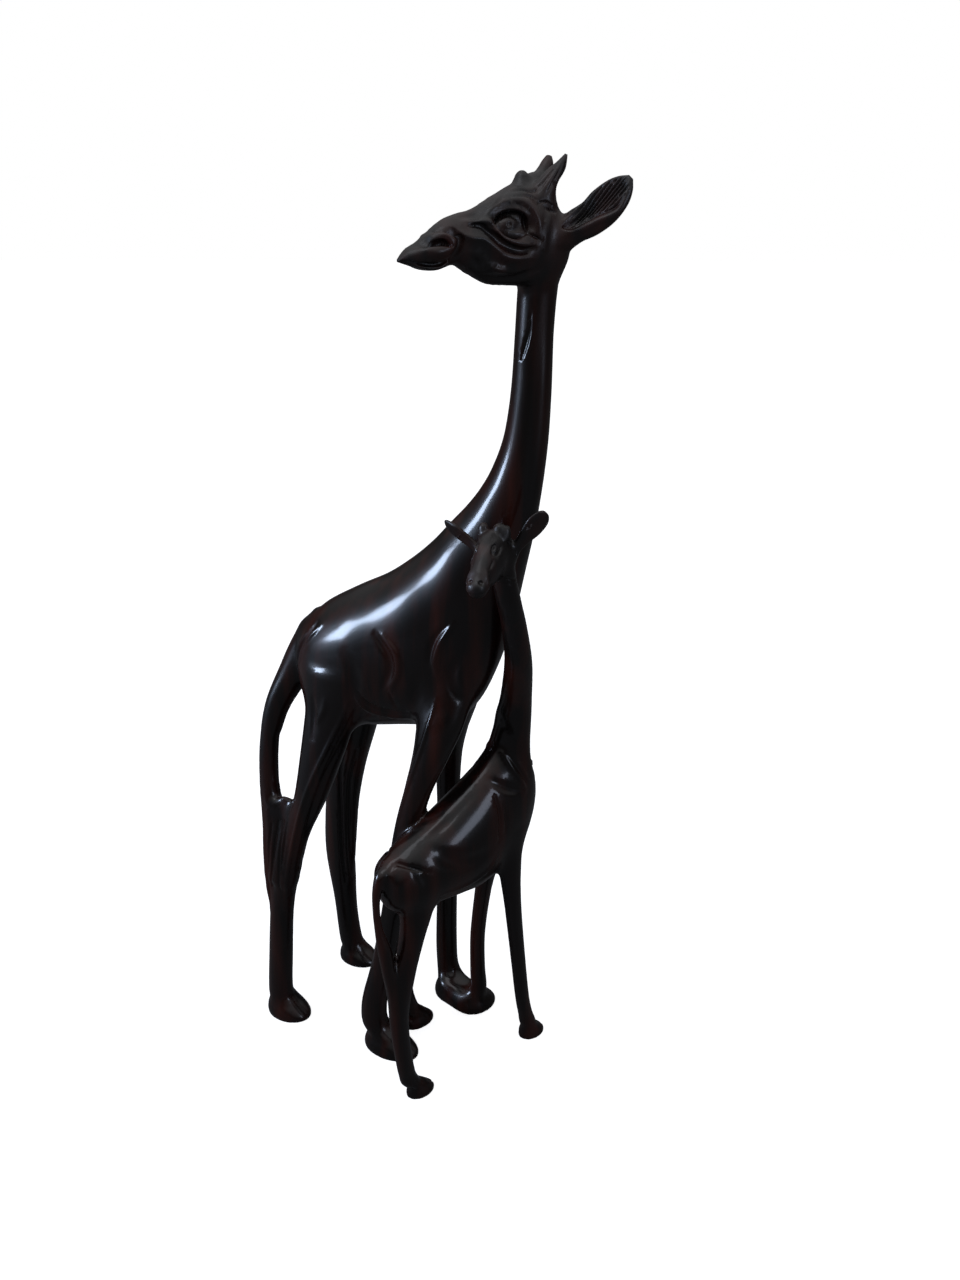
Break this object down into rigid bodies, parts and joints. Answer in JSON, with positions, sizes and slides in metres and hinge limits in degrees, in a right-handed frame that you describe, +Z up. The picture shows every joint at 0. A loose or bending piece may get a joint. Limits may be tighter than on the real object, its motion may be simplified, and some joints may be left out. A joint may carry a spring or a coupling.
{
  "type": "giraffe and calf sculpture",
  "caption": "Hand-carved dark hardwood figure of a standing mother giraffe looking back at the calf that crosses in front of her, carved as one piece.",
  "frame": {"origin": "under the middle of the group's box, on the surface that the hooves stand on", "axes": "+Z up; +X the way the mother stands, from her tail to her chest; +Y to her left"},
  "size_m": [0.1654, 0.0877, 0.3984],
  "materials": {
    "polished_blackwood": "polished"
  },
  "bodies": {
    "root": {"giraffe_and_calf_carving": "polished_blackwood"}
  },
  "joints": []
}
